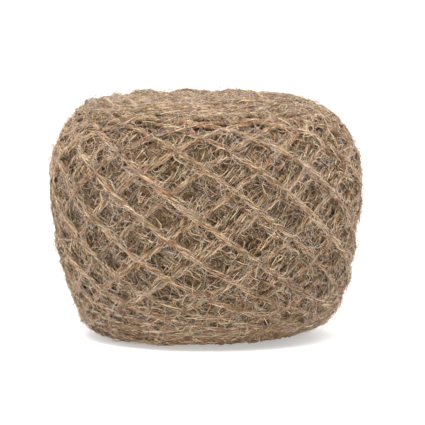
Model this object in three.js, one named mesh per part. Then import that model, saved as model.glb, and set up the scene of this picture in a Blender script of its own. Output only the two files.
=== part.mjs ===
// A machine-wound ball of alpaca yarn, standing on the flat spot it has settled on.
// Millimetres, +Z up, origin on the flat spot under the middle of the ball, front towards -Y.
import * as THREE from 'three';

// Winding: each turn climbs one side, swings round a circle near the top and comes down the far side.
const mainTurns = 16; // turns that stand out in each direction
const stepsPerTurn = 6; // grid lines from one main turn to the next
const columns = mainTurns * stepsPerTurn;
const stepAngle = 360 / columns;
const rowsToCircle = columns / 4; // from the middle of a climb to the circle it swings round
const fineRows = 20; // beyond these the turns lie so close that every second row is enough
const firstTurnAngle = 10; // where the first main turn passes the front, towards +X
const swingRadius = 37.5; // circle that the turns touch, above and below

// Relief of the turns, measured down from the outline
const fineTurnDepth = 0.8;
const grooveDepth = 1.9;
const fullDepthSpacing = 1.7; // where neighbouring turns lie closer than this the relief is shallower

// Outline from the flat spot up to the shoulder, over the tops of the main turns
const outline = [
  { radius: 22.5, height: 0.0 },
  { radius: 27.0, height: 0.3 },
  { radius: 31.0, height: 1.0 },
  { radius: 34.3, height: 2.3 },
  { radius: 37.1, height: 4.1 },
  { radius: 39.0, height: 6.6 },
  { radius: 40.9, height: 11.2 },
  { radius: 42.8, height: 16.8 },
  { radius: 45.0, height: 23.5 },
  { radius: 46.3, height: 30.8 },
  { radius: 47.1, height: 38.1 },
  { radius: 47.9, height: 48.8 },
  { radius: 46.9, height: 56.4 },
  { radius: 45.6, height: 60.1 },
  { radius: 43.7, height: 63.7 },
  { radius: 40.9, height: 67.4 },
  { radius: 38.1, height: 69.6 },
  { radius: 34.5, height: 71.0 },
];
const samplesPerSection = 60;

// Each main turn: how far it has slipped round the ball, in degrees, and how deep it lies
const turns = [
  { slip: -3.2, sunk: 0.4 },
  { slip: 1.0, sunk: 0.8 },
  { slip: 4.0, sunk: 0.4 },
  { slip: 2.0, sunk: 0.7 },
  { slip: 0.5, sunk: 0.2 },
  { slip: -1.8, sunk: 0.3 },
  { slip: 0.1, sunk: 0.1 },
  { slip: -0.4, sunk: 0.0 },
  { slip: -1.4, sunk: 0.0 },
  { slip: 2.9, sunk: 0.0 },
  { slip: -1.0, sunk: 0.6 },
  { slip: -3.5, sunk: 0.2 },
  { slip: 1.6, sunk: 0.0 },
  { slip: 0.5, sunk: 0.8 },
  { slip: -0.5, sunk: 0.8 },
  { slip: -1.5, sunk: 0.5 },
];

// Older turns on the top face, from the shoulder in to the small hollow in the middle
const topRings = [
  { radius: 35.7, height: 70.8, count: 96 },
  { radius: 33.9, height: 70.1, count: 96 },
  { radius: 32.2, height: 71.6, count: 48 },
  { radius: 30.3, height: 70.7, count: 48 },
  { radius: 28.4, height: 72.0, count: 48 },
  { radius: 26.4, height: 71.0, count: 48 },
  { radius: 24.4, height: 72.3, count: 48 },
  { radius: 22.4, height: 71.3, count: 48 },
  { radius: 20.3, height: 72.5, count: 48 },
  { radius: 18.2, height: 71.4, count: 48 },
  { radius: 16.1, height: 72.5, count: 48 },
  { radius: 14.0, height: 71.4, count: 48 },
  { radius: 11.8, height: 72.4, count: 48 },
  { radius: 9.5, height: 71.4, count: 48 },
  { radius: 7.0, height: 72.0, count: 24 },
  { radius: 4.6, height: 70.8, count: 24 },
  { radius: 2.8, height: 68.3, count: 12 },
];
const hollowFloor = 67.6;
const hollowShift = 5.0; // the hollow sits this far towards +X from the middle of the top face
const ringSway = 0.5; // how far each ring of the top face has slipped sideways
const ringSwayTurn = 137; // and how far round the next one slips, in degrees

// Underside, from the lower circle in to the flat spot, with the grooves between its turns
const bottomRings = [
  { radius: 36.0, height: 3.9, count: 96 },
  { radius: 34.6, height: 2.4, count: 96 },
  { radius: 33.0, height: 2.2, count: 48 },
  { radius: 31.3, height: 1.1, count: 48 },
  { radius: 29.5, height: 1.2, count: 48 },
  { radius: 27.4, height: 0.3, count: 48 },
  { radius: 25.2, height: 0.5, count: 48 },
  { radius: 22.5, height: 0.0, count: 48 },
  { radius: 14.0, height: 0.0, count: 3 },
];

// The ball has settled towards -X: its upper half leans a little, and its foot and its top face have
// slipped further. The higher the power, the closer to the end of the ball the slip stays.
const lean = 0.9;
const leanPower = 4;
const footSlip = 4.0;
const footSlipPower = 22;
const topSlip = 2.4;
const topSlipPower = 40;
const unevenness = 0.35; // soft waves round the sides
const ballHeight = 72.5;
const shoulderHeight = 70.0;
const topFaceRadius = 24.0; // inside this radius the top face has slipped in one piece

function wrap(value, length) {
  return ((value % length) + length) % length;
}

function turnRow(turn) {
  return turns[wrap(turn, mainTurns)];
}

// Slip of any grid line, shared out evenly between the main turns on either side of it
function slipAt(line) {
  const turn = Math.floor(line / stepsPerTurn);
  return THREE.MathUtils.lerp(turnRow(turn).slip, turnRow(turn + 1).slip, line / stepsPerTurn - turn);
}

function climbAngle(line) {
  return firstTurnAngle + line * stepAngle + slipAt(line);
}

// A line that climbs comes down again half a round further on, with the same slip.
function fallAngle(line) {
  return firstTurnAngle + line * stepAngle + slipAt(line - columns / 2);
}

// Outline between the two circles, with how far round a turn has come at each height. A turn under
// even tension follows the shortest way over the form, which fixes its slope at every radius.
function windingProfile() {
  const curve = new THREE.SplineCurve(outline.map((row) => new THREE.Vector2(row.radius, row.height)));
  const points = curve.getPoints(outline.length * samplesPerSection);
  const side = points.filter((point) => point.x > swingRadius);
  const reached = [0];
  for (let k = 1; k < side.length; k += 1) {
    const radius = (side[k].x + side[k - 1].x) / 2;
    const reach = Math.sqrt(radius * radius - swingRadius * swingRadius);
    reached.push(reached[k - 1] + (swingRadius * side[k].distanceTo(side[k - 1])) / (radius * reach));
  }
  const whole = reached[reached.length - 1];
  return side.map((point, k) => ({ point, angle: (180 * reached[k]) / whole - 90 }));
}

const profile = windingProfile();

// Point of the outline where a turn has come the given angle from the middle of its climb
function profileAt(angle) {
  let k = 1;
  while (k < profile.length - 1 && profile[k].angle < angle) {
    k += 1;
  }
  const before = profile[k - 1];
  const after = profile[k];
  const part = THREE.MathUtils.clamp((angle - before.angle) / (after.angle - before.angle), 0, 1);
  const along = after.point.clone().sub(before.point).normalize();
  return {
    point: before.point.clone().lerp(after.point, part),
    outward: new THREE.Vector2(along.y, -along.x),
  };
}

function onMainTurn(line) {
  return wrap(line, stepsPerTurn) === 0;
}

// Depth of a grid point below the outline: on a main turn, on a fine turn or in a groove
function depthAt(column, row) {
  const climb = column - row;
  const fall = column + row;
  if (wrap(fall, 2) === 1) {
    return grooveDepth;
  }
  let depth = fineTurnDepth;
  if (onMainTurn(climb)) {
    depth = turnRow(climb / stepsPerTurn).sunk;
  }
  if (onMainTurn(fall)) {
    const fallDepth = turnRow((fall - columns / 2) / stepsPerTurn).sunk;
    depth = onMainTurn(climb) ? Math.min(depth, fallDepth) : fallDepth;
  }
  return depth;
}

// How far the ball has settled sideways at a height
function settledShift(height) {
  const level = height / ballHeight;
  const foot = footSlip * (1 - level) ** footSlipPower;
  return -(foot + lean * level ** leanPower + topSlip * level ** topSlipPower);
}

// Point of the settled ball, with its slight unevenness
function settled(radius, angle, height, shift) {
  const turn = THREE.MathUtils.degToRad(angle);
  const level = height / ballHeight;
  const uneven = unevenness * Math.sin(3 * turn + 4 * level) * Math.sin(Math.PI * level);
  return new THREE.Vector3(
    (radius + uneven) * Math.sin(turn) + shift,
    -(radius + uneven) * Math.cos(turn),
    height,
  );
}

const vertices = [];
const faces = [];

function addVertex(place) {
  vertices.push(place.x, place.y, place.z);
  return vertices.length / 3 - 1;
}

// Side of the ball: one row of points for each step of the climb
function sideRow(row) {
  const ring = [];
  for (let column = 0; column < columns; column += 1) {
    const climb = climbAngle(column - row);
    const fall = fallAngle(column + row);
    const { point, outward } = profileAt((fall - climb) / 2);
    const reach = Math.sqrt(Math.max(point.x * point.x - swingRadius * swingRadius, 0));
    const spacing = THREE.MathUtils.degToRad(stepAngle) * reach;
    const depth = depthAt(column, row) * Math.min(spacing / fullDepthSpacing, 1);
    const angle = (climb + fall) / 2;
    const height = point.y - depth * outward.y;
    const place = settled(point.x - depth * outward.x, angle, height, settledShift(height));
    ring.push({ vertex: addVertex(place), angle });
  }
  return ring;
}

// Whether the turns seen in a diamond between four main turns are falling ones
function showsFalling(climb, fall) {
  const across = Math.floor(climb / stepsPerTurn);
  const along = Math.floor(fall / stepsPerTurn);
  return wrap(across * 3 + along * 5, 7) < 4;
}

// The two triangles of a grid cell meet along the turn, or the groove, that runs through it.
function joinRows(below, above, row) {
  for (let column = 0; column < columns; column += 1) {
    const next = (column + 1) % columns;
    const corners = [below[column], below[next], above[next], above[column]].map((end) => end.vertex);
    const climb = column - row;
    const fall = column + row + 1;
    const falling = onMainTurn(fall) || (!onMainTurn(climb) && showsFalling(climb, fall));
    if (falling) {
      faces.push(corners[0], corners[1], corners[3], corners[1], corners[2], corners[3]);
    } else {
      faces.push(corners[0], corners[1], corners[2], corners[0], corners[2], corners[3]);
    }
  }
}

function capRing({ radius, height, count }, shift, sway) {
  const ring = [];
  for (let k = 0; k < count; k += 1) {
    const angle = firstTurnAngle + (360 * k) / count;
    const place = settled(radius, angle, height, shift + sway.x);
    place.y += sway.y;
    ring.push({ vertex: addVertex(place), angle });
  }
  return ring;
}

// Joins two rings of any number of points, stepping along whichever lags behind.
function joinRings(below, above) {
  const angleOf = (ring, k) => ring[k % ring.length].angle + 360 * Math.floor(k / ring.length);
  const vertexOf = (ring, k) => ring[k % ring.length].vertex;
  let low = 0;
  let high = 0;
  while (low < below.length || high < above.length) {
    const stepLow = high >= above.length
      || (low < below.length && angleOf(below, low + 1) <= angleOf(above, high + 1));
    if (stepLow) {
      faces.push(vertexOf(below, low), vertexOf(below, low + 1), vertexOf(above, high));
      low += 1;
    } else {
      faces.push(vertexOf(below, low), vertexOf(above, high + 1), vertexOf(above, high));
      high += 1;
    }
  }
}

function buildSide() {
  const rings = [];
  for (let row = -rowsToCircle; row <= rowsToCircle; row += 1) {
    const skipped = Math.abs(row) > fineRows && wrap(row, 2) === 1;
    if (!skipped) {
      rings.push({ row, ring: sideRow(row) });
    }
  }
  for (let k = 1; k < rings.length; k += 1) {
    joinRows(rings[k - 1].ring, rings[k].ring, rings[k - 1].row);
  }
  return { foot: rings[0].ring, shoulder: rings[rings.length - 1].ring };
}

// The top face turns from the slip of the shoulder to its own, and its middle lies off centre.
function topShift(radius) {
  const inward = THREE.MathUtils.clamp((swingRadius - radius) / (swingRadius - topFaceRadius), 0, 1);
  const slip = settledShift(THREE.MathUtils.lerp(shoulderHeight, ballHeight, inward));
  return slip + hollowShift * (1 - radius / swingRadius);
}

function buildTop(shoulder) {
  let below = shoulder;
  topRings.forEach((row, k) => {
    const turn = THREE.MathUtils.degToRad(k * ringSwayTurn);
    const sway = new THREE.Vector2(Math.cos(turn), Math.sin(turn)).multiplyScalar(ringSway);
    const ring = capRing(row, topShift(row.radius), sway);
    joinRings(below, ring);
    below = ring;
  });
  const floor = addVertex(settled(0, 0, hollowFloor, topShift(0)));
  below.forEach((end, k) => {
    faces.push(end.vertex, below[(k + 1) % below.length].vertex, floor);
  });
}

function buildUnderside(foot) {
  let above = foot;
  bottomRings.forEach((row) => {
    const ring = capRing(row, settledShift(row.height), new THREE.Vector2());
    joinRings(ring, above);
    above = ring;
  });
  faces.push(above[0].vertex, above[2].vertex, above[1].vertex);
}

const side = buildSide();
buildTop(side.shoulder);
buildUnderside(side.foot);

const geometry = new THREE.BufferGeometry();
geometry.setAttribute('position', new THREE.Float32BufferAttribute(vertices, 3));
geometry.setIndex(faces);
geometry.computeVertexNormals();

const alpacaYarn = new THREE.MeshStandardMaterial({ color: 0x9a8268, roughness: 0.95, metalness: 0 });
alpacaYarn.name = 'alpaca_yarn';

const woundYarn = new THREE.Mesh(geometry, alpacaYarn);
woundYarn.name = 'wound_yarn';

const ball = new THREE.Group();
ball.name = 'yarn_ball';
ball.add(woundYarn);

export default ball;
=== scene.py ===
# A wound ball of alpaca yarn: its turns are laid one after another on a height map of the ball and swept
# as tubes, then single fibres are laid along and over them
import math
import bpy
import numpy as np
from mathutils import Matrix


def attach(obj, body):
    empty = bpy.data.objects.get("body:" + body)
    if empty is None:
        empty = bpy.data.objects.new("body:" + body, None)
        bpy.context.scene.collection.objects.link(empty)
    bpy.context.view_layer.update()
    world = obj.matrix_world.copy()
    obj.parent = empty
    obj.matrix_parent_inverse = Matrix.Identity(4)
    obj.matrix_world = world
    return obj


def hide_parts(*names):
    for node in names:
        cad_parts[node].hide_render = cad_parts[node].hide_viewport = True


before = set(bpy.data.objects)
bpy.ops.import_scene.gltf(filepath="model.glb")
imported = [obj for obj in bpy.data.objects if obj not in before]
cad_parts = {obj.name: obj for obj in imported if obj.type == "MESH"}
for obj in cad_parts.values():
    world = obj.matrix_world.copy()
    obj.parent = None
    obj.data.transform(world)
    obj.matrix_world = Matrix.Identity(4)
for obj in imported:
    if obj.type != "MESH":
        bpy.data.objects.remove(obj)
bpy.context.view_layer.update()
rng = np.random.default_rng(7)
mm = 0.001

form = {
    # radius and height in mm over the tops of the main turns, as in the CAD but softer at the foot
    "outline": [
        (22.0, 0.0), (26.5, 0.35), (30.4, 1.0), (33.8, 2.3), (36.8, 4.2), (39.4, 6.8), (41.6, 11.2),
        (43.2, 16.8), (45.0, 23.5), (46.3, 30.8), (47.1, 38.1), (47.9, 48.8), (46.9, 56.4), (45.6, 60.1),
        (43.7, 63.7), (40.9, 67.4), (38.1, 69.6), (34.5, 71.0), (30.0, 71.8), (25.0, 72.1),
    ],
    "height": 72.5,
    "shoulder": 70.0,
    "footSlip": 6.5,      # how far the foot of the ball has slipped towards -X
    "footPower": 28,      # the higher, the less of the ball above has slipped with it
    "lean": 0.9,          # how far the ball leans that way, most in its upper half
    "leanPower": 4,
    "topSlip": 4.0,       # how far its top face has slipped that way
    "topPower": 60,
    "kneeShift": 0.7,     # just above its foot it bulges towards +X
    "knee": 9.0,
    "kneeWidth": 7.0,
    "topTilt": 0.0003,    # the top face falls away towards +X, by this times the square of the distance
    "topFace": 24.0,      # inside this radius the top face has slipped in one piece
    "hollowShift": 8.5,   # the hollow in the top has slipped back this far towards +X
    "unevenness": 0.35,
    "bulges": 3,          # soft bulges round the ball
    "bulgeTwist": 4,      # how far they twist from the foot to the top, in radians
}
winding = {
    # how far each main turn has slipped from its even place, in degrees
    "slips": [-3.2, 1.0, 4.0, 2.0, 0.5, -1.8, 0.1, -0.4, -1.4, 2.9, -1.0, -3.5, 1.6, 0.5, -0.5, -1.5],
    "lastTurn": 12,       # the main turn that was wound last and lies over the others
    "firstAngle": 10.0,   # where turn 0 passes the front, in degrees towards +X
    "turnStep": 0.6,      # degrees from one point of a turn to the next
    "moveOver": 60,       # degrees at the end of a turn in which it moves over to the next one's place
    "layers": 8,
    "layerShift": 3.0,    # each layer lies this many degrees beside the one before
    "layerFollows": 0.6,  # and has this share of the slips of the one after
    "swingRadius": 37.5,  # circle that the turns touch, above and below
    "layerSwing": 0.7,    # older layers swing round a smaller circle
    "yarnRadius": 0.95,
    "roundness": 0.8,     # how round a turn stays where it touches the ones below
    "squeeze": 0.35,      # how far it sinks into them, in yarn radii
    "bedded": 0.5,        # and then all along, as a share of that
    "tension": 3.0,       # steps over which it bridges the gaps below
    "olderSunk": 1.08,    # how much deeper the older layers lie, in mm
    "olderPacked": 0.2,   # how much of their own relief they keep
    "lastPacked": 0.7,    # the same for the last layer
    "lastSunk": 0.9,      # and the most that it sinks
    "risingSunk": 0.35,   # the half of each turn that climbs lies under the half that comes down
    "fullSpacing": 1.4,   # where turns lie closer than this, in mm, the older ones lie less deep
    "leastSunk": 0.9,     # but at least this share of olderSunk
    "slack": 0.45,        # sideways wander of a turn, in degrees
    "olderSlack": 0.8,
    "climbSlack": 0.25,   # its wander up and down, in mm
    "slackEvery": 60,     # steps from one wander to the next
    "stray": 0.2,         # how far the turns lie off their even spacing, in degrees
    "olderStray": 2.4,
    "lowest": 1.0,        # height of the middle of a turn that lies on the table
}


def smoothOutline(rows, perSection=40):
    points = np.array(rows, float)
    padded = np.vstack([points[:1], points, points[-1:]])
    u = (np.arange(perSection) / perSection)[:, None]
    parts = []
    for k in range(len(points) - 1):
        a, b, c, d = padded[k:k + 4]
        parts.append(0.5 * (2 * b + (c - a) * u + (2 * a - 5 * b + 4 * c - d) * u ** 2
                            + (3 * b - a - 3 * c + d) * u ** 3))
    return np.vstack(parts + [points[-1:]])


def smoothed(values, sigma):
    reach = int(3 * sigma) + 1
    weights = np.exp(-0.5 * (np.arange(-reach, reach + 1) / sigma) ** 2)
    return np.convolve(np.pad(values, reach, mode="edge"), weights / weights.sum(), "valid")


def wander(count, every, size):
    knots = rng.normal(0, size, count // every + 4)
    return smoothed(np.interp(np.arange(count) / every, np.arange(len(knots)), knots), every * 0.35)


curve = smoothOutline(form["outline"])
curveLength = np.concatenate([[0], np.cumsum(np.hypot(*np.diff(curve, axis=0).T))])
alongStep = 0.1
slopeSigma = 8   # steps that the slope is smoothed over
along = np.arange(0, curveLength[-1], alongStep)
outlineR = np.interp(along, curveLength, curve[:, 0])
outlineZ = np.interp(along, curveLength, curve[:, 1])
slopeR = smoothed(np.gradient(outlineR, alongStep), slopeSigma)
slopeZ = smoothed(np.gradient(outlineZ, alongStep), slopeSigma)
slopeLength = np.hypot(slopeR, slopeZ)
normalR = slopeZ / slopeLength
normalZ = -slopeR / slopeLength


def settled(radius, angle, height, slipHeight=None):
    # a point of the ball after it has slipped and grown uneven; slipHeight, where given, sets the slip
    turn = np.radians(angle)
    level = np.clip(height / form["height"], 0, 1)
    bulge = np.sin(form["bulges"] * turn + form["bulgeTwist"] * level)
    reach = radius + form["unevenness"] * bulge * np.sin(np.pi * level)
    if slipHeight is not None:
        level = slipHeight / form["height"]
    shift = form["footSlip"] * (1 - level) ** form["footPower"] + form["lean"] * level ** form["leanPower"]
    shift = shift + form["topSlip"] * level ** form["topPower"]
    aboveKnee = (level * form["height"] - form["knee"]) / form["kneeWidth"]
    shift = shift - form["kneeShift"] * np.exp(-aboveKnee ** 2)
    return np.stack([reach * np.sin(turn) - shift, -reach * np.cos(turn), height], -1)


def windingMap(swing):
    # a turn under even tension takes the shortest way over the form, which fixes its slope at every radius
    inside = np.nonzero(outlineR > swing)[0]
    r = outlineR[inside]
    rate = swing / (r * np.sqrt(np.maximum(r * r - swing * swing, 1.0)))
    reached = np.concatenate([[0], np.cumsum((rate[1:] + rate[:-1]) / 2 * alongStep)])
    return -90 + 180 * reached / reached[-1], along[inside]


def cellsAround(reachA, reachB):
    grids = np.meshgrid(np.arange(-reachA, reachA + 1), np.arange(-reachB, reachB + 1), indexing="ij")
    return [grid.ravel() for grid in grids]


sideMap = {
    "around": 800,        # cells round the ball
    "cell": 0.37,         # mm along the outline
    "reachAround": 4,     # cells on each side that a turn can lie on
    "reachAlong": 2,
    "topPercent": 96,     # percent of the cells that lie below the tops of the turns
    "topReach": 4,        # cells over which the highest top counts
    "topSigma": 3,
}
sideRows = int(along[-1] / sideMap["cell"]) + 1
sideHeight = np.zeros((sideMap["around"], sideRows))
offsetA, offsetB = cellsAround(sideMap["reachAround"], sideMap["reachAlong"])


def restOn(heights, columns, rows, distance2, tension):
    # height at which a yarn comes to rest on what lies below, then the map with the yarn on it
    radius = winding["yarnRadius"]
    cap = np.sqrt(np.maximum(radius ** 2 - distance2, 0))
    near = distance2 < radius ** 2
    contact = np.where(near, heights[columns, rows] + winding["roundness"] * cap, 0).max(1)
    bridged = smoothed(contact, tension)
    level = smoothed(np.maximum(contact - winding["squeeze"] * radius, bridged), tension)
    level = level - winding["bedded"] * winding["squeeze"] * radius
    np.maximum.at(heights, (columns, rows), np.where(near, level[:, None] + cap, 0))
    return level


def layOnSide(theta, s):
    placeA = theta / 360 * sideMap["around"]
    placeB = s / sideMap["cell"]
    columns = np.round(placeA).astype(int)[:, None] + offsetA[None]
    rows = np.round(placeB).astype(int)[:, None] + offsetB[None]
    r = np.interp(s, along, outlineR)
    acrossA = (columns - placeA[:, None]) * (2 * np.pi / sideMap["around"]) * r[:, None]
    acrossB = (rows - placeB[:, None]) * sideMap["cell"]
    return restOn(sideHeight, columns % sideMap["around"], np.clip(rows, 0, sideRows - 1),
                  acrossA ** 2 + acrossB ** 2, winding["tension"])


def layLayer(layer):
    back = winding["layers"] - 1 - layer
    mapAngle, mapAlong = windingMap(winding["swingRadius"] - winding["layerSwing"] * back)
    turns = len(winding["slips"])
    pitch = 360 / turns
    u = np.arange(0, 360, winding["turnStep"])
    stray = rng.normal(0, winding["olderStray"] if back else winding["stray"], turns + 1)
    slack = winding["olderSlack"] if back else winding["slack"]
    follows = winding["layerFollows"] ** back
    rising = (0 if back else winding["risingSunk"]) * np.clip(np.sin(np.radians(u)), 0, 1)
    thetas, places, levels, sinks = [], [], [], []
    for n in range(turns):
        turn = (winding["lastTurn"] + 1 + n) % turns
        start = winding["firstAngle"] + pitch * turn - winding["layerShift"] * back
        here = start + follows * winding["slips"][turn] + stray[n]
        there = start + pitch + follows * winding["slips"][(turn + 1) % turns] + stray[n + 1]
        part = np.clip((u - (360 - winding["moveOver"])) / winding["moveOver"], 0, 1)
        theta = here + (there - here) * part ** 2 * (3 - 2 * part) + u - 90
        theta = theta + wander(len(u), winding["slackEvery"], slack) * np.sin(np.radians(u / 2)) ** 0.5
        climbed = np.where(u < 180, u - 90, 270 - u)
        s = np.interp(climbed, mapAngle, mapAlong)
        s = s + wander(len(u), winding["slackEvery"], winding["climbSlack"])
        levels.append(layOnSide(theta, s))
        sinks.append(rising)
        thetas.append(theta + 360 * n)
        places.append(s)
    return [np.concatenate(rows) for rows in (thetas, places, levels, sinks)]


layers = [layLayer(layer) for layer in range(winding["layers"])]
print("laid", winding["layers"], "layers of", len(winding["slips"]), "turns")

# the tops of the turns come level with the outline at every height
topOfTurns = np.percentile(sideHeight, sideMap["topPercent"], axis=0)
nearRows = range(-sideMap["topReach"], sideMap["topReach"] + 1)
topOfTurns = smoothed(np.max([np.roll(topOfTurns, k) for k in nearRows], axis=0), sideMap["topSigma"])
rowPlaces = np.arange(sideRows) * sideMap["cell"]


def sideReach(s):
    # how far a turn has come past the circle that it swings round, in mm
    return np.sqrt(np.maximum(np.interp(s, along, outlineR) ** 2 - winding["swingRadius"] ** 2, 0))


def liftOnSide(s, level, older):
    # height of the middle of a turn over the outline, in mm
    below = np.interp(s, rowPlaces, topOfTurns) - level
    if older:
        spacing = np.radians(winding["layerShift"]) * sideReach(s)
        sunk = winding["olderSunk"] * np.clip(spacing / winding["fullSpacing"], winding["leastSunk"], 1)
        return -sunk - winding["yarnRadius"] - winding["olderPacked"] * (below - winding["yarnRadius"])
    sunk = winding["lastPacked"] * (below - winding["yarnRadius"]) / winding["lastSunk"]
    return -winding["yarnRadius"] - winding["lastSunk"] * np.tanh(sunk)


def sidePoint(angle, s, lift, lowest):
    radius = np.interp(s, along, outlineR) + lift * np.interp(s, along, normalR)
    height = np.interp(s, along, outlineZ) + lift * np.interp(s, along, normalZ)
    return settled(radius, angle, np.maximum(height, lowest))


def sideScale(s):
    return np.interp(s, along, outlineR) * np.pi / 180   # mm for each degree round the ball


# how the fibres on a turn grow fewer where the turns crowd, and lie flatter near the table
crowding = {"gain": 1.3, "leastRoom": 0.3, "freeFrom": 1.0, "freeOver": 12.0, "leastFree": 0.1}


def sideRoom(s):
    # turns crowd together where they swing round, so each has a smaller share of the fibres there
    return np.clip(sideReach(s) / winding["swingRadius"] * crowding["gain"], crowding["leastRoom"], 1)


def sideFree(s):
    # fibres stand up less where the ball rests
    height = np.interp(s, along, outlineZ)
    return np.clip((height - crowding["freeFrom"]) / crowding["freeOver"], crowding["leastFree"], 1)


# turns of the older layers on the top face and underneath
endFace = {
    "rings": [3.5, 6.0, 8.5, 11.5, 14.5, 17.5, 20.5, 23.5, 26.5, 29.5, 32.0, 34.0],   # circles they touch
    "turns": 13,          # on each of the first rings
    "moreEvery": 3,       # rings, after which there is one turn more
    "offRing": 0.5,       # how far a turn strays from its ring, in mm
    "offAngle": 0.08,     # and from its even place round it, in radians
    "ringShift": 0.19,    # each ring's turns lie this far round from those of the ring before
    "spread": 7.0,        # how far past its ring a turn can be followed
    "spreadShare": (0.75, 1.1),
    "bend": 0.85,         # 1 for a straight turn, less for one that bends round the middle
    "step": 0.4,
    "slack": 0.25,
    "slackEvery": 20,
    "tension": 2.5,
    "cell": 0.4,
    "half": 45.0,         # half the width of the map, in mm
    "reach": 3,           # cells on each side that a turn can lie on
    "topPercent": 92,
    "topReach": 1.2,      # mm to each side over which the tops are counted
    "proud": 0.4,         # the most that a turn stands above the others
    # how far out they go, how much of its depth under the others a turn keeps, and the most of it
    "top": {"rim": 37.0, "packed": 0.32, "deepest": 1.3},
    "under": {"rim": 36.5, "packed": 0.2, "deepest": 0.6},
}


def endFaceTurns(end):
    size = int(2 * endFace["half"] / endFace["cell"])
    heights = np.zeros((size, size))
    offA, offB = cellsAround(endFace["reach"], endFace["reach"])
    chords = []
    for number, ring in enumerate(endFace["rings"]):
        turns = endFace["turns"] + number // endFace["moreEvery"]
        spread = min(endFace["spread"], end["rim"] - ring)
        for turn in range(turns):
            touch = ring + rng.normal(0, endFace["offRing"])
            far = touch + spread * rng.uniform(*endFace["spreadShare"])
            swing = math.acos(touch / far) / endFace["bend"]
            phi = np.linspace(-swing, swing, int(2 * swing * touch / endFace["step"]) + 8)
            radius = touch / np.cos(phi * endFace["bend"])
            radius = radius + wander(len(phi), endFace["slackEvery"], endFace["slack"])
            radius = np.minimum(radius, end["rim"])
            angle = phi + 2 * math.pi * turn / turns + rng.normal(0, endFace["offAngle"])
            angle = angle + number * endFace["ringShift"]
            x, y = radius * np.sin(angle), -radius * np.cos(angle)
            placeA = (x + endFace["half"]) / endFace["cell"]
            placeB = (y + endFace["half"]) / endFace["cell"]
            columns = np.clip(np.round(placeA).astype(int)[:, None] + offA[None], 0, size - 1)
            rows = np.clip(np.round(placeB).astype(int)[:, None] + offB[None], 0, size - 1)
            cells2 = (columns - placeA[:, None]) ** 2 + (rows - placeB[:, None]) ** 2
            level = restOn(heights, columns, rows, cells2 * endFace["cell"] ** 2, endFace["tension"])
            chords.append((x, y, level))
    # the highest turns at each radius come level with the face, the others lie deeper in the ball
    middle = (np.arange(size) + 0.5) * endFace["cell"] - endFace["half"]
    radii = np.hypot(middle[:, None], middle[None])
    spots = np.arange(1.0, end["rim"], 1.0)
    tops = [np.percentile(heights[abs(radii - spot) < endFace["topReach"]], endFace["topPercent"])
            for spot in spots]
    tops = smoothed(np.array(tops), 1.0)
    paths = []
    for x, y, level in chords:
        below = np.interp(np.hypot(x, y), spots, tops) - level - winding["yarnRadius"]
        below = np.maximum(below, -endFace["proud"])
        paths.append((x, y, -winding["yarnRadius"] - np.minimum(end["packed"] * below, end["deepest"])))
    return paths


# radius and height in mm of the two end faces
topProfile = np.array([(0, 67.8), (3, 68.8), (5, 71.0), (7.5, 72.4), (11, 73.0), (20, 73.2), (28, 72.9),
                       (33, 72.1), (38, 70.3)]).T
bottomProfile = np.array([(0, 0.0), (22, 0.0), (26.5, 0.35), (30.4, 1.0), (33.8, 2.3), (36.7, 4.2),
                          (38, 6.0)]).T


def topPoint(x, y, lift, lowest):
    # lowest is here only because the points of all the faces are called alike
    radius = np.hypot(x, y)
    inward = np.clip((winding["swingRadius"] - radius) / (winding["swingRadius"] - form["topFace"]), 0, 1)
    slipHeight = form["shoulder"] + (form["height"] - form["shoulder"]) * inward
    height = np.interp(radius, *topProfile) + lift
    place = settled(radius, np.degrees(np.arctan2(x, -y)), height, slipHeight)
    place[..., 0] += form["hollowShift"] * np.clip(1 - radius / winding["swingRadius"], 0, 1) ** 2
    place[..., 2] -= form["topTilt"] * place[..., 0] * abs(place[..., 0])
    return place


def underPoint(x, y, lift, lowest):
    height = np.maximum(np.interp(np.hypot(x, y), *bottomProfile) - lift, lowest)
    return settled(np.hypot(x, y), np.degrees(np.arctan2(x, -y)), height)


def evenly(y):
    return np.ones_like(y)


# each face: the place of a point on it, mm for each unit of its first measure, how freely fibres stand up
# and how many of them a turn carries
sideFace = {"point": sidePoint, "scale": sideScale, "free": sideFree, "room": sideRoom}
topFace = {"point": topPoint, "scale": evenly, "free": evenly, "room": evenly}
underFace = {"point": underPoint, "scale": evenly, "room": evenly}


def evenSteps(points, step):
    length = np.concatenate([[0], np.cumsum(np.linalg.norm(np.diff(points, axis=0), axis=1))])
    spots = np.linspace(0, length[-1], int(length[-1] / step))
    return np.stack([np.interp(spots, length, points[:, k]) for k in range(3)], 1), spots


def link(tree, fromNode, output, toNode, socket):
    tree.links.new(fromNode.outputs[output], toNode.inputs[socket])


def mathNode(tree, operation, *values):
    node = tree.nodes.new("ShaderNodeMath")
    node.operation = operation
    for k, value in enumerate(values):
        if isinstance(value, (int, float)):
            node.inputs[k].default_value = value
        else:
            tree.links.new(value, node.inputs[k])
    return node.outputs[0]


def newTree(name, inputs):
    tree = bpy.data.node_groups.new(name, "GeometryNodeTree")
    tree.interface.new_socket("Geometry", in_out="INPUT", socket_type="NodeSocketGeometry")
    for label, kind in inputs.items():
        tree.interface.new_socket(label, in_out="INPUT", socket_type=kind)
    tree.interface.new_socket("Geometry", in_out="OUTPUT", socket_type="NodeSocketGeometry")
    return tree, tree.nodes.new("NodeGroupInput"), tree.nodes.new("NodeGroupOutput")


def namedAttribute(tree, name):
    node = tree.nodes.new("GeometryNodeInputNamedAttribute")
    node.data_type = "FLOAT"
    node.inputs["Name"].default_value = name
    return node.outputs["Attribute"]


def storeVector(tree, name, value):
    node = tree.nodes.new("GeometryNodeStoreNamedAttribute")
    node.data_type = "FLOAT_VECTOR"
    node.inputs["Name"].default_value = name
    tree.links.new(value, node.inputs["Value"])
    return node


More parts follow.
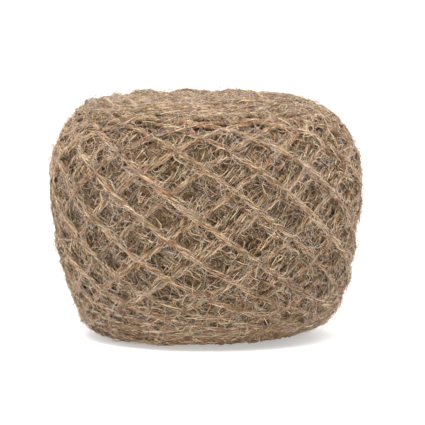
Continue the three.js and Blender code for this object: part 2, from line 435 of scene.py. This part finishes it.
def finishTree(tree, last, output, groupIn, groupOut):
    realize = tree.nodes.new("GeometryNodeRealizeInstances")
    smooth = tree.nodes.new("GeometryNodeSetShadeSmooth")
    paint = tree.nodes.new("GeometryNodeSetMaterial")
    link(tree, last, output, realize, "Geometry")
    link(tree, realize, "Geometry", smooth, "Geometry")
    link(tree, smooth, "Geometry", paint, "Geometry")
    link(tree, groupIn, "Material", paint, "Material")
    link(tree, paint, "Geometry", groupOut, "Geometry")


def buildYarnTree():
    # sweeps a two-ply section along each turn, turning with the twist
    tree, groupIn, groupOut = newTree("yarnSweep", {
        "Yarn radius": "NodeSocketFloat",
        "Ply depth": "NodeSocketFloat",
        "Sides": "NodeSocketInt",
        "Material": "NodeSocketMaterial",
    })
    path = tree.nodes.new("GeometryNodeMeshToCurve")
    link(tree, groupIn, "Geometry", path, "Mesh")
    tilt = tree.nodes.new("GeometryNodeSetCurveTilt")
    link(tree, path, "Curve", tilt, "Curve")
    tree.links.new(namedAttribute(tree, "twist"), tilt.inputs["Tilt"])

    circle = tree.nodes.new("GeometryNodeCurvePrimitiveCircle")
    link(tree, groupIn, "Sides", circle, "Resolution")
    circle.inputs["Radius"].default_value = 1.0
    factor = tree.nodes.new("GeometryNodeSplineParameter")
    wave = mathNode(tree, "MULTIPLY", factor.outputs["Factor"], 4 * math.pi)   # two waves for two plies
    wave = mathNode(tree, "COSINE", wave)
    swell = mathNode(tree, "MULTIPLY", wave, groupIn.outputs["Ply depth"])
    swell = mathNode(tree, "ADD", swell, mathNode(tree, "SUBTRACT", 1.0, groupIn.outputs["Ply depth"]))
    position = tree.nodes.new("GeometryNodeInputPosition")
    scaled = tree.nodes.new("ShaderNodeVectorMath")
    scaled.operation = "SCALE"
    tree.links.new(position.outputs[0], scaled.inputs[0])
    tree.links.new(swell, scaled.inputs["Scale"])
    shape = tree.nodes.new("GeometryNodeSetPosition")
    link(tree, circle, "Curve", shape, "Geometry")
    tree.links.new(scaled.outputs[0], shape.inputs["Position"])
    ply = storeVector(tree, "ply", position.outputs[0])
    link(tree, shape, "Geometry", ply, "Geometry")

    sweep = tree.nodes.new("GeometryNodeCurveToMesh")
    link(tree, tilt, "Curve", sweep, "Curve")
    link(tree, ply, "Geometry", sweep, "Profile Curve")
    sweep.inputs["Fill Caps"].default_value = True
    size = mathNode(tree, "MULTIPLY", namedAttribute(tree, "thickness"), groupIn.outputs["Yarn radius"])
    tree.links.new(size, sweep.inputs["Scale"])
    finishTree(tree, sweep, "Mesh", groupIn, groupOut)
    return tree


def applyTree(source, tree, settings, name):
    modifier = source.modifiers.new("tree", "NODES")
    modifier.node_group = tree
    for item in tree.interface.items_tree:
        if item.in_out == "INPUT" and item.name in settings:
            modifier[item.identifier] = settings[item.name]
    evaluated = source.evaluated_get(bpy.context.evaluated_depsgraph_get())
    mesh = bpy.data.meshes.new_from_object(evaluated)
    source.modifiers.remove(modifier)
    piece = bpy.data.objects.new(name, mesh)
    bpy.context.scene.collection.objects.link(piece)
    mesh.name = name
    print(name, len(mesh.polygons), "faces")
    return piece


def polylines(name, paths, extras):
    points, edges, start = [], [], 0
    for path in paths:
        points.append(path)
        edges += [(start + k, start + k + 1) for k in range(len(path) - 1)]
        start += len(path)
    mesh = bpy.data.meshes.new(name)
    mesh.from_pydata(np.vstack(points).tolist(), edges, [])
    for label, values in extras.items():
        attribute = mesh.attributes.new(label, "FLOAT", "POINT")
        attribute.data.foreach_set("value", np.concatenate(values).astype(np.float32))
    guide = bpy.data.objects.new(name, mesh)
    bpy.context.scene.collection.objects.link(guide)
    return guide


def colour(red, green, blue):
    return (red, green, blue, 1.0)


white = colour(1, 1, 1)


def shaderNode(tree, kind, **values):
    node = tree.nodes.new(kind)
    for name, value in values.items():
        node.inputs[name].default_value = value
    return node


def ramp(tree, source, stops):
    node = tree.nodes.new("ShaderNodeValToRGB")
    while len(node.color_ramp.elements) < len(stops):
        node.color_ramp.elements.new(0.5)
    for element, (spot, value) in zip(node.color_ramp.elements, stops):
        element.position = spot
        element.color = value
    tree.links.new(source, node.inputs[0])
    return node.outputs[0]


def fade(tree, source, *stops):
    return ramp(tree, source, [(spot, colour(amount, amount, amount)) for spot, amount in stops])


def mixColour(tree, factor, first, second, blend="MIX"):
    node = tree.nodes.new("ShaderNodeMix")
    node.data_type = "RGBA"
    node.blend_type = blend
    for socket, value in ((node.inputs[0], factor), (node.inputs[6], first), (node.inputs[7], second)):
        if isinstance(value, (tuple, float)):
            socket.default_value = value
        else:
            tree.links.new(value, socket)
    return node.outputs[2]


def noise(tree, vector, scale, detail, rough=0.6):
    node = shaderNode(tree, "ShaderNodeTexNoise", Scale=scale, Detail=detail, Roughness=rough)
    tree.links.new(vector, node.inputs["Vector"])
    return node.outputs[0]


def tangle(tree, vector, scale, lines, thin):
    # the level lines of a noise look like curled fibres lying over each other
    node = shaderNode(tree, "ShaderNodeTexNoise", Scale=scale, Detail=1.0, Distortion=0.6)
    tree.links.new(vector, node.inputs["Vector"])
    wave = mathNode(tree, "PINGPONG", mathNode(tree, "MULTIPLY", node.outputs[0], lines), 1.0)
    return mathNode(tree, "POWER", wave, thin)


def tinted(tree, base, vector):
    for scale, low, high in yarnLook["tints"]:
        patch = noise(tree, vector, scale, 2.0)
        tint = ramp(tree, patch, [(0.35, low), (0.47, white), (0.53, white), (0.65, high)])
        base = mixColour(tree, 1.0, base, tint, "MULTIPLY")
    return base


yarnLook = {
    # deep: the darkest fibres and streaks, partly their own dark brown and partly painted shade of the
    # gaps between fibres and turns
    "deep": colour(0.032, 0.013, 0.004),
    "brown": colour(0.22, 0.130, 0.062),
    "light": colour(0.48, 0.34, 0.20),
    "rust": colour(0.34, 0.165, 0.078),
    "cream": colour(0.76, 0.595, 0.40),
    "greyGreen": colour(0.17, 0.17, 0.11),
    "mauve": colour(0.31, 0.195, 0.145),
    "fuzz": colour(0.42, 0.305, 0.21),
    "halo": colour(0.555, 0.45, 0.395),
    # small patches of rust and olive fibre, and wider ones of mauve and ochre
    "tints": [(420.0, colour(0.80, 0.90, 0.79), colour(1.0, 0.85, 0.73)),
              (190.0, colour(0.97, 0.91, 0.95), colour(1.0, 0.97, 0.86))],
}
texture = {
    "streakAlong": 0.35,  # streaks are drawn out along the yarn
    "streakAcross": 2.6,
    "streaks": 1.0,
    "flecks": 0.62,
    "otherFlecks": 0.85,
    "longTone": 0.055,
    "curls": 420.0,
    "smallCurls": 610.0,
    "patches": 180.0,
    "fluff": 1400.0,
}


def newMaterial(name, specular, sheen):
    material = bpy.data.materials.new(name)
    material.use_nodes = True
    shader = material.node_tree.nodes["Principled BSDF"]
    shader.inputs["Specular IOR Level"].default_value = specular
    shader.inputs["Sheen Weight"].default_value = sheen
    return material, material.node_tree, shader


def attributeNode(tree, name):
    node = tree.nodes.new("ShaderNodeAttribute")
    node.attribute_name = name
    return node


def objectPlace(tree):
    return tree.nodes.new("ShaderNodeTexCoord").outputs["Object"]


def vectorOf(tree, *parts):
    node = tree.nodes.new("ShaderNodeCombineXYZ")
    for k, part in enumerate(parts):
        tree.links.new(part, node.inputs[k])
    return node.outputs[0]


def addBump(tree, shader, height, strength, distance):
    bump = shaderNode(tree, "ShaderNodeBump", Strength=strength, Distance=distance)
    tree.links.new(height, bump.inputs["Height"])
    tree.links.new(bump.outputs[0], shader.inputs["Normal"])


def yarnMaterial(name, shade, fluffy):
    material, tree, shader = newMaterial(name, 0.03, 0.1)
    alongSpot = attributeNode(tree, "along").outputs["Fac"]
    split = tree.nodes.new("ShaderNodeSeparateXYZ")
    tree.links.new(attributeNode(tree, "ply").outputs["Vector"], split.inputs[0])
    streakPlace = vectorOf(tree, mathNode(tree, "MULTIPLY", alongSpot, texture["streakAlong"]),
                           mathNode(tree, "MULTIPLY", split.outputs[0], texture["streakAcross"]),
                           mathNode(tree, "MULTIPLY", split.outputs[1], texture["streakAcross"]))
    streaks = noise(tree, streakPlace, texture["streaks"], 4.0, 0.7)
    flecks = noise(tree, streakPlace, texture["flecks"], 2.0)
    otherFlecks = noise(tree, streakPlace, texture["otherFlecks"], 2.0)
    longTone = noise(tree, vectorOf(tree, alongSpot), texture["longTone"], 3.0)

    base = ramp(tree, streaks, [
        (0.42, yarnLook["deep"]), (0.52, yarnLook["brown"]), (0.64, yarnLook["light"])])
    base = mixColour(tree, fade(tree, longTone, (0.42, 0), (0.62, 0.55)), base, yarnLook["mauve"])
    base = mixColour(tree, fade(tree, flecks, (0.58, 0), (0.66, 0.8)), base, yarnLook["rust"])
    base = mixColour(tree, fade(tree, flecks, (0.33, 0.8), (0.40, 0)), base, yarnLook["greyGreen"])
    base = mixColour(tree, fade(tree, otherFlecks, (0.60, 0), (0.68, 0.75)), base, yarnLook["cream"])
    # painted shade: the whole colour is darkened by shade, with a warm tint, so that the darker copies of
    # this yarn look shaded
    base = mixColour(tree, 1.0, base, colour(shade, shade * 0.93, shade * 0.86), "MULTIPLY")
    place = objectPlace(tree)
    curls = mathNode(tree, "MAXIMUM", tangle(tree, place, texture["curls"], 14.0, 3.5),
                     tangle(tree, place, texture["smallCurls"], 11.0, 4.0))
    lit = ramp(tree, flecks, [
        (0.36, yarnLook["light"]), (0.50, yarnLook["cream"]), (0.64, yarnLook["brown"])])
    base = mixColour(tree, mathNode(tree, "MULTIPLY", curls, fluffy), base, lit)
    base = tinted(tree, base, place)
    tree.links.new(base, shader.inputs["Base Color"])
    rough = mathNode(tree, "MULTIPLY_ADD", streaks, 0.2, 0.78)
    tree.links.new(rough, shader.inputs["Roughness"])
    shader.inputs["Sheen Roughness"].default_value = 0.5
    shader.inputs["Sheen Tint"].default_value = colour(1.0, 0.94, 0.92)
    addBump(tree, shader, streaks, 0.6, 0.35 * mm)
    return material


def fibreMaterial(name):
    material, tree, shader = newMaterial(name, 0.05, 0.04)
    place = objectPlace(tree)
    patch = noise(tree, place, texture["patches"], 2.0)
    base = ramp(tree, attributeNode(tree, "fibreTone").outputs["Fac"], [
        (0.0, yarnLook["deep"]), (0.18, yarnLook["deep"]), (0.26, yarnLook["brown"]),
        (0.42, yarnLook["brown"]), (0.48, yarnLook["rust"]), (0.56, yarnLook["light"]),
        (0.70, yarnLook["light"]), (0.78, yarnLook["cream"]), (0.88, yarnLook["cream"]),
        (0.93, yarnLook["greyGreen"])])
    base = mixColour(tree, fade(tree, patch, (0.4, 0), (0.65, 0.3)), base, yarnLook["mauve"])
    base = tinted(tree, base, place)
    tree.links.new(base, shader.inputs["Base Color"])
    tree.links.new(mathNode(tree, "MULTIPLY_ADD", patch, 0.2, 0.5), shader.inputs["Roughness"])
    return material


def fuzzMaterial(name, main):
    material, tree, shader = newMaterial(name, 0.15, 0.15)
    base = ramp(tree, attributeNode(tree, "fibreTone").outputs["Fac"], [
        (0.0, yarnLook["mauve"]), (0.45, main), (0.75, main), (1.0, yarnLook["cream"])])
    tree.links.new(base, shader.inputs["Base Color"])
    shader.inputs["Roughness"].default_value = 0.6
    return material


def bodyMaterial(name):
    material, tree, shader = newMaterial(name, 0.03, 0.0)
    place = objectPlace(tree)
    fluff = noise(tree, place, texture["fluff"], 4.0, 0.7)
    # painted shade: near-black browns for the shade deep between the turns, with light curls of fibre over
    # them
    base = ramp(tree, fluff, [(0.3, colour(0.02, 0.01, 0.004)), (0.7, colour(0.12, 0.07, 0.035))])
    curls = mathNode(tree, "MULTIPLY", tangle(tree, place, texture["curls"], 14.0, 3.0), 0.4)
    base = mixColour(tree, curls, base, yarnLook["light"])
    tree.links.new(base, shader.inputs["Base Color"])
    shader.inputs["Roughness"].default_value = 0.95
    addBump(tree, shader, fluff, 0.8, 0.5 * mm)
    return material


# three copies of one yarn: the darker two are painted shade, for the older layers deep under the last
# turns and for the turns of the top face
alpacaYarn = yarnMaterial("alpacaYarn", 0.8, 0.3)
olderYarnPaintedShade = yarnMaterial("olderYarnPaintedShade", 0.22, 0.44)
faceYarnPaintedShade = yarnMaterial("faceYarnPaintedShade", 0.34, 0.38)
looseFibre = fibreMaterial("looseFibre")
shortFuzz = fuzzMaterial("shortFuzz", yarnLook["fuzz"])
paleFuzz = fuzzMaterial("paleFuzz", yarnLook["halo"])
innerYarnPaintedShade = bodyMaterial("innerYarnPaintedShade")

body = {
    "around": 120,
    "step": 1.8,
    "from": 6.0,          # it starts and ends this far from the ends of the outline, in mm along it
    "till": 1.0,
    "depth": 2.9,         # how deep it lies under the outline
    "lumps": 0.3,
    "lowest": 1.2,
    "hollow": ((0.75, 68.4), (0.5, 68.5), (0.25, 67.4), (0.1, 64.2)),   # share of the rim's radius, height
    "hollowFloor": 63.8,
}


def buildBody():
    # closed form under the turns, seen only between them; its near-black colour is painted shade, for the
    # shade deep in the gaps between the turns
    places = np.arange(body["from"], along[-1] - body["till"], body["step"])
    n = body["around"]
    angles = np.arange(n) * 360 / n
    vertices, faces = [], []
    for s in places:
        deep = body["depth"] + smoothed(rng.normal(0, body["lumps"], n), 1.0)
        radius = np.interp(s, along, outlineR) - deep * np.interp(s, along, normalR)
        height = np.interp(s, along, outlineZ) - deep * np.interp(s, along, normalZ)
        vertices.append(settled(radius, angles, np.maximum(height, body["lowest"])))
    low, top = vertices[0], vertices[-1]
    shift = form["hollowShift"] - form["lean"] - form["topSlip"]
    for part, height in body["hollow"]:
        vertices.append(np.column_stack([top[:, 0] * part + shift * (1 - part), top[:, 1] * part,
                                         np.full(n, height)]))
    last = len(vertices) * n
    for row in range(0, last - n, n):
        faces += [(row + k, row + (k + 1) % n, row + n + (k + 1) % n, row + n + k) for k in range(n)]
    faces += [(last - n + k, last - n + (k + 1) % n, last) for k in range(n)]
    faces += [((k + 1) % n, k, last + 1) for k in range(n)]
    vertices.append(np.array([[shift, 0, body["hollowFloor"]], [np.mean(low[:, 0]), 0, body["lowest"]]]))
    mesh = bpy.data.meshes.new("innerBody")
    mesh.from_pydata((np.vstack(vertices) * mm).tolist(), [], faces)
    mesh.materials.append(innerYarnPaintedShade)
    mesh.polygons.foreach_set("use_smooth", np.ones(len(mesh.polygons), bool))
    piece = bpy.data.objects.new("innerBody", mesh)
    bpy.context.scene.collection.objects.link(piece)
    print("innerBody", len(mesh.polygons), "faces")
    return piece


innerBody = buildBody()

yarn = {
    "radius": 0.86,       # mm
    "plyDepth": 0.13,
    "plyTwist": 6.5,      # length of one full twist, mm
    "twistSlack": 0.5,    # radians
    "twistEvery": 12,     # steps from one change of twist to the next
    "lumps": 0.09,        # how much the thickness varies
    "lumpsEvery": (5, 30),
    "lastWidth": 1.0,     # the last turns are pulled tight, the older ones have spread out
    "olderWidth": 1.12,
    "layerShapes": [  # sides and step in mm, from the oldest layer to the last
        (4, 3.0), (4, 2.8), (4, 2.6), (4, 2.2), (4, 1.8), (5, 1.5), (5, 1.3), (6, 1.0)],
    "topShape": (5, 1.5),
    "underShape": (4, 2.6),
    "between": 40,        # mm of yarn hidden between two runs
    "layerLength": 9000.0,   # mm of yarn from one layer to the next, so that no two have the same streaks
    "topStart": 80000.0,
    "underStart": 90000.0,
}


def yarnGuide(name, paths, step, startAlong):
    guides, twists, thicknesses, alongs = [], [], [], []
    runBefore = startAlong
    for path in paths:
        even, spots = evenSteps(path, step)
        guides.append(even * mm)
        twist = 2 * math.pi * (spots + runBefore) / yarn["plyTwist"]
        twists.append(twist + wander(len(spots), yarn["twistEvery"], yarn["twistSlack"]))
        thickness = 1
        for every in yarn["lumpsEvery"]:
            thickness = thickness + wander(len(spots), every, yarn["lumps"])
        thicknesses.append(thickness)
        alongs.append(spots + runBefore)
        runBefore += spots[-1] + yarn["between"]
    return polylines(name, guides, {"twist": twists, "thickness": thicknesses, "along": alongs})


def sweepYarn(name, face, paths, shape, startAlong, material, width=1.0):
    sides, step = shape
    points = [face["point"](u, v, lift, winding["lowest"]) for u, v, lift in paths]
    guide = yarnGuide(name + "Guide", points, step, startAlong)
    piece = applyTree(guide, yarnTree, {
        "Yarn radius": yarn["radius"] * width * mm, "Ply depth": yarn["plyDepth"], "Sides": sides,
        "Material": material}, name)
    bpy.data.objects.remove(guide)
    return piece


yarnTree = buildYarnTree()
pieces = [innerBody]
layerPaths = {}
for layer, shape in enumerate(yarn["layerShapes"]):
    theta, s, level, sunk = layers[layer]
    older = layer < winding["layers"] - 1
    layerPaths[layer] = [(theta, s, liftOnSide(s, smoothed(level, 2.0), older) - sunk)]
    # the older layers take the copy of the yarn darkened with painted shade
    pieces.append(sweepYarn("turnsLayer" + str(layer + 1), sideFace, layerPaths[layer], shape,
                            yarn["layerLength"] * layer, olderYarnPaintedShade if older else alpacaYarn,
                            yarn["olderWidth"] if older else yarn["lastWidth"]))
topPaths = endFaceTurns(endFace["top"])
underPaths = endFaceTurns(endFace["under"])
# the turns of the top face take a copy of the yarn darkened with painted shade
pieces.append(sweepYarn("topTurns", topFace, topPaths, yarn["topShape"], yarn["topStart"], faceYarnPaintedShade))
pieces.append(sweepYarn("underTurns", underFace, underPaths, yarn["underShape"], yarn["underStart"],
                        alpacaYarn))

# fibres: some lie along the yarn, some over its neighbours, and a few long ones stand off the ball
fibres = {
    "step": 0.5,
    "stretch": 22,        # steps from one change of tone along a turn to the next
    "stretchTone": 0.22,
    "toneDraw": (-0.1, 1.05),
    "twistSpread": 0.12,
    "curl": 1.3,          # how far a fibre that lies over the turns bends round, in radians
    "root": (0.3, 0.9),   # how high on the yarn it starts, in yarn radii
    "tailMost": 4,        # mm, the most that a long hair stands higher than the rise of its kind
    "arch": (1.3, 3.0),   # radians of a sine that it rises along, so that some come down again
    "widths": (0.6, 1.4),   # thickness of single fibres, as a share of that of their kind
    "taper": 0.6,
    "lowest": 0.15,       # height over the table, in mm
    # painted shade: the strands of the older layers take the darkest tones, which the main turns' fibres
    # leave out, so that the layers under the last turns look shaded
    "main": {"length": (2.2, 6.5), "width": 0.26, "around": 1.7, "twist": 0.26, "loose": 0.14,
             "reach": 0.84, "stations": 3, "tones": (0.28, 0.90)},
    "strand": {"length": (1.8, 5.5), "width": 0.27, "around": 1.5, "twist": 0.3, "loose": 0.4,
               "reach": 0.92, "stations": 3, "tones": (0.0, 0.92)},
    "haze": {"length": (2.2, 6.5), "width": 0.19, "rise": (0.1, 0.7), "tail": 0.0, "stations": 4,
             "tones": (0.08, 0.95)},
    "fuzz": {"length": (2.0, 5.0), "width": 0.082, "rise": (0.3, 1.1), "tail": 1.4, "stations": 3,
             "tones": (0.1, 1.0)},
    "halo": {"length": (5.0, 11.0), "width": 0.068, "rise": (1.0, 3.0), "tail": 1.2, "stations": 4,
             "tones": (0.1, 1.0)},
}


def yarnRuns(face, paths):
    # the turns at even steps, one after another, with the length left on each
    parts = []
    for u, v, lift in paths:
        across = np.diff(u) * face["scale"](v[1:])
        length = np.concatenate([[0], np.cumsum(np.hypot(across, np.diff(v)))])
        spots = np.arange(0, length[-1], fibres["step"])
        rows = [np.interp(spots, length, row) for row in (u, v, lift)]
        parts.append(np.stack(rows + [length[-1] - spots]))
    return np.concatenate(parts, 1)


def alongTurns(runs, face, kind, count):
    u, v, lift, left = runs
    index = np.arange(len(u))
    share = face["room"](v) * (left > kind["length"][1] + 1)
    first = rng.choice(len(u), count, p=share / share.sum())[:, None]
    length = rng.uniform(*kind["length"], (count, 1))
    part = np.linspace(0, 1, kind["stations"])
    spot = first + length * part / fibres["step"]
    here = [np.interp(spot, index, row) for row in (u, v, lift)]
    ahead = [np.interp(spot + 1, index, row) for row in (u, v)]
    scale = face["scale"](here[1])
    du = (ahead[0] - here[0]) * scale
    dv = ahead[1] - here[1]
    size = np.hypot(du, dv) + 1e-6
    turn = rng.uniform(-kind["around"], kind["around"], (count, 1))
    turn = turn + rng.normal(kind["twist"], fibres["twistSpread"], (count, 1)) * length * part
    away = kind["reach"] * (0.88 + 0.2 * np.sin(np.pi * part) + 0.1 * part)   # it bows out and ends loose
    away = away + rng.exponential(kind["loose"], (count, 1)) * part ** 2
    sideways = away * np.sin(turn)
    stretches = wander(len(u), fibres["stretch"], fibres["stretchTone"])   # lighter and darker stretches
    tones = rng.uniform(*fibres["toneDraw"], count) + stretches[first[:, 0]]
    places = face["point"](here[0] - sideways * dv / size / scale, here[1] + sideways * du / size,
                           here[2] + away * np.cos(turn), fibres["lowest"])
    return places, np.interp(tones, (0, 1), kind["tones"])


def overTurns(runs, face, kind, count):
    u, v, lift, left = runs
    share = face["room"](v)
    first = rng.choice(len(u), count, p=share / share.sum())[:, None]
    length = rng.uniform(*kind["length"], (count, 1))
    part = np.linspace(0, 1, kind["stations"])
    turn = rng.uniform(0, 2 * math.pi, (count, 1)) + rng.normal(0, fibres["curl"], (count, 1)) * part
    scale = face["scale"](v[first])
    start = rng.uniform(*fibres["root"], (count, 1)) * yarn["radius"]
    peak = rng.uniform(*kind["rise"], (count, 1))
    peak = peak + np.minimum(rng.exponential(kind["tail"], (count, 1)), fibres["tailMost"])
    arch = np.sin(part * rng.uniform(*fibres["arch"], (count, 1)))
    rise = start + peak * face["free"](v[first]) * arch
    places = face["point"](u[first] + length * part * np.cos(turn) / scale,
                           v[first] + length * part * np.sin(turn), lift[first] + rise, fibres["lowest"])
    return places, rng.uniform(*kind["tones"], count)


def fibreMesh(name, parts, kind, material):
    # each fibre is a three-sided spike, wide at its root and pointed at its end
    stations = np.concatenate([places for places, tones in parts])
    tones = np.concatenate([tones for places, tones in parts])
    count, rows, _ = stations.shape
    forward = np.gradient(stations, axis=1)
    forward /= np.linalg.norm(forward, axis=2, keepdims=True) + 1e-9
    side = np.cross(forward, rng.normal(size=(count, 1, 3)))
    side /= np.linalg.norm(side, axis=2, keepdims=True) + 1e-9
    other = np.cross(forward, side)
    taper = 1 - fibres["taper"] * np.linspace(0, 1, rows) ** 2
    half = kind["width"] / 2 * rng.uniform(*fibres["widths"], (count, 1, 1)) * taper[None, :, None]
    edges = [stations + half * (math.cos(a) * side + math.sin(a) * other)
             for a in (0, 2 * math.pi / 3, 4 * math.pi / 3)]
    sections = np.stack(edges, 2)[:, :-1].reshape(count, -1, 3)
    vertices = np.concatenate([sections, stations[:, -1:]], 1)
    single = [(0, 2, 1)]
    for a in range(0, 3 * (rows - 2), 3):
        single += [(a + k, a + (k + 1) % 3, a + 3 + (k + 1) % 3, a + 3 + k) for k in range(3)]
    a = 3 * (rows - 2)
    single += [(a + k, a + (k + 1) % 3, a + 3) for k in range(3)]
    points = a + 4        # of one fibre
    corners = np.concatenate(single)
    starts = np.cumsum([0] + [len(face) for face in single[:-1]])
    number = np.arange(count)[:, None]
    mesh = bpy.data.meshes.new(name)
    mesh.vertices.add(count * points)
    mesh.vertices.foreach_set("co", (vertices * mm).ravel())
    mesh.loops.add(count * len(corners))
    mesh.loops.foreach_set("vertex_index", (corners + number * points).ravel())
    mesh.polygons.add(count * len(single))
    mesh.polygons.foreach_set("loop_start", (starts + number * len(corners)).ravel())
    mesh.polygons.foreach_set("use_smooth", np.ones(count * len(single), bool))
    mesh.update(calc_edges=True)
    tone = mesh.attributes.new("fibreTone", "FLOAT", "POINT")
    tone.data.foreach_set("value", np.repeat(tones, points).astype(np.float32))
    mesh.materials.append(material)
    piece = bpy.data.objects.new(name, mesh)
    bpy.context.scene.collection.objects.link(piece)
    print(name, count, "fibres")
    return piece


# how many fibres each piece has: by layer, counted from 0 for the oldest, or on an end face
fibreCounts = {
    "mainStrands": {7: 10500},
    "strandsSecond": {6: 6800, 5: 5600},
    "strandsThird": {4: 5000, 3: 3500},
    "strandsOldest": {2: 700, 1: 300},
    "strandsTop": 3500,
    "strandsUnder": 2500,
    "hazeLow": {6: 3000, 5: 2500, 4: 700},
    "hazeHigh": {7: 4000, "top": 1000},
    "fuzz": {7: 4600, "top": 1000},
    "halo": {7: 3900, "top": 600},
}
underEdge = 20            # mm, only the turns of the underside past this radius are seen

layerRuns = {layer: yarnRuns(sideFace, paths) for layer, paths in layerPaths.items()}
topRuns = yarnRuns(topFace, topPaths)
underRuns = yarnRuns(underFace, underPaths)
underRuns[3] *= np.hypot(underRuns[0], underRuns[1]) > underEdge
for name, kind in (("mainStrands", "main"), ("strandsSecond", "strand"), ("strandsThird", "strand"),
                   ("strandsOldest", "strand")):
    parts = [alongTurns(layerRuns[layer], sideFace, fibres[kind], count)
             for layer, count in fibreCounts[name].items()]
    pieces.append(fibreMesh(name, parts, fibres[kind], looseFibre))
for name, face, runs in (("strandsTop", topFace, topRuns), ("strandsUnder", underFace, underRuns)):
    parts = [alongTurns(runs, face, fibres["main"], fibreCounts[name])]
    pieces.append(fibreMesh(name, parts, fibres["main"], looseFibre))
for name, kind, material in (("hazeLow", "haze", looseFibre), ("hazeHigh", "haze", looseFibre),
                             ("fuzz", "fuzz", shortFuzz), ("halo", "halo", paleFuzz)):
    parts = []
    for layer, count in fibreCounts[name].items():
        if layer == "top":
            parts.append(overTurns(topRuns, topFace, fibres[kind], count))
        else:
            parts.append(overTurns(layerRuns[layer], sideFace, fibres[kind], count))
    pieces.append(fibreMesh(name, parts, fibres[kind], material))

for piece in pieces:
    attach(piece, "root")
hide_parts("wound_yarn")
triangles = [sum(len(poly.vertices) - 2 for poly in piece.data.polygons) for piece in pieces]
print("triangles", sum(triangles), "most in one piece", max(triangles))

studio = {
    "zenith": 2.25,       # brightness of the sky overhead and at the horizon
    "horizon": 0.58,
    "backdrop": 1.05,     # and of what the camera sees behind the ball
    "lampPower": 15.0,
    "lampSize": 0.8,
    "lampPlace": (-0.1, -0.4, 1.0),
    "paper": 0.78,
    "floorGlow": 0.42,    # the paper lies on a light table
    "floorRings": [0.0, 0.2, 0.6, 1.5, 3.0],
    "floorSides": 48,
    "elevation": 6.5,
    "distance": 1.6,
    "width": 0.12856,     # width that the picture shows at the middle of the ball, in m
    "sensor": 36,
    "aim": (1.97 * mm, 0.0, 37.6 * mm),
}


def buildFloor():
    sides, rings = studio["floorSides"], studio["floorRings"]
    turns = [2 * math.pi * k / sides for k in range(sides)]
    vertices = [(0, 0, 0)]
    for ring in rings[1:]:
        vertices += [(ring * math.cos(turn), ring * math.sin(turn), 0) for turn in turns]
    faces = [(0, 1 + k, 1 + (k + 1) % sides) for k in range(sides)]
    for a in range(1, 1 + (len(rings) - 2) * sides, sides):
        b = a + sides
        faces += [(a + k, b + k, b + (k + 1) % sides, a + (k + 1) % sides) for k in range(sides)]
    mesh = bpy.data.meshes.new("floor")
    mesh.from_pydata(vertices, [], faces)
    floor = bpy.data.objects.new("floor", mesh)
    bpy.context.scene.collection.objects.link(floor)
    paper, tree, shader = newMaterial("palePaper", 0.1, 0.0)
    shader.inputs["Base Color"].default_value = colour(studio["paper"], studio["paper"], studio["paper"])
    shader.inputs["Roughness"].default_value = 0.9
    shader.inputs["Emission Color"].default_value = white
    shader.inputs["Emission Strength"].default_value = studio["floorGlow"]
    mesh.materials.append(paper)


def buildLight():
    world = bpy.data.worlds.new("studio")
    bpy.context.scene.world = world
    world.use_nodes = True
    tree = world.node_tree
    background = tree.nodes["Background"]
    rays = tree.nodes.new("ShaderNodeLightPath")
    where = tree.nodes.new("ShaderNodeTexCoord")
    split = tree.nodes.new("ShaderNodeSeparateXYZ")
    tree.links.new(where.outputs["Generated"], split.inputs[0])
    up = mathNode(tree, "MAXIMUM", split.outputs["Z"], 0.0)
    sky = mathNode(tree, "MULTIPLY_ADD", up, studio["zenith"] - studio["horizon"], studio["horizon"])
    seen = mathNode(tree, "SUBTRACT", studio["backdrop"], sky)
    strength = mathNode(tree, "MULTIPLY_ADD", rays.outputs["Is Camera Ray"], seen, sky)
    background.inputs["Color"].default_value = white
    tree.links.new(strength, background.inputs["Strength"])

    light = bpy.data.lights.new("overhead", "AREA")
    light.shape = "DISK"
    light.size = studio["lampSize"]
    light.energy = studio["lampPower"]
    lamp = bpy.data.objects.new("overhead", light)
    bpy.context.scene.collection.objects.link(lamp)
    lamp.location = studio["lampPlace"]
    lamp.rotation_euler = (-lamp.location).to_track_quat("-Z", "Y").to_euler()


def buildCamera():
    camera = bpy.data.cameras.new("camera")
    camera.sensor_width = studio["sensor"]
    camera.lens = studio["sensor"] * studio["distance"] / studio["width"]
    camera.clip_end = 20
    viewer = bpy.data.objects.new("camera", camera)
    bpy.context.scene.collection.objects.link(viewer)
    tilt = math.radians(studio["elevation"])
    aimX, aimY, aimZ = studio["aim"]
    viewer.location = (aimX, aimY - studio["distance"] * math.cos(tilt),
                       aimZ + studio["distance"] * math.sin(tilt))
    viewer.rotation_euler = (math.pi / 2 - tilt, 0, 0)
    bpy.context.scene.camera = viewer
    bpy.context.scene.view_settings.view_transform = "Standard"


buildFloor()
buildLight()
buildCamera()
print("studio built")
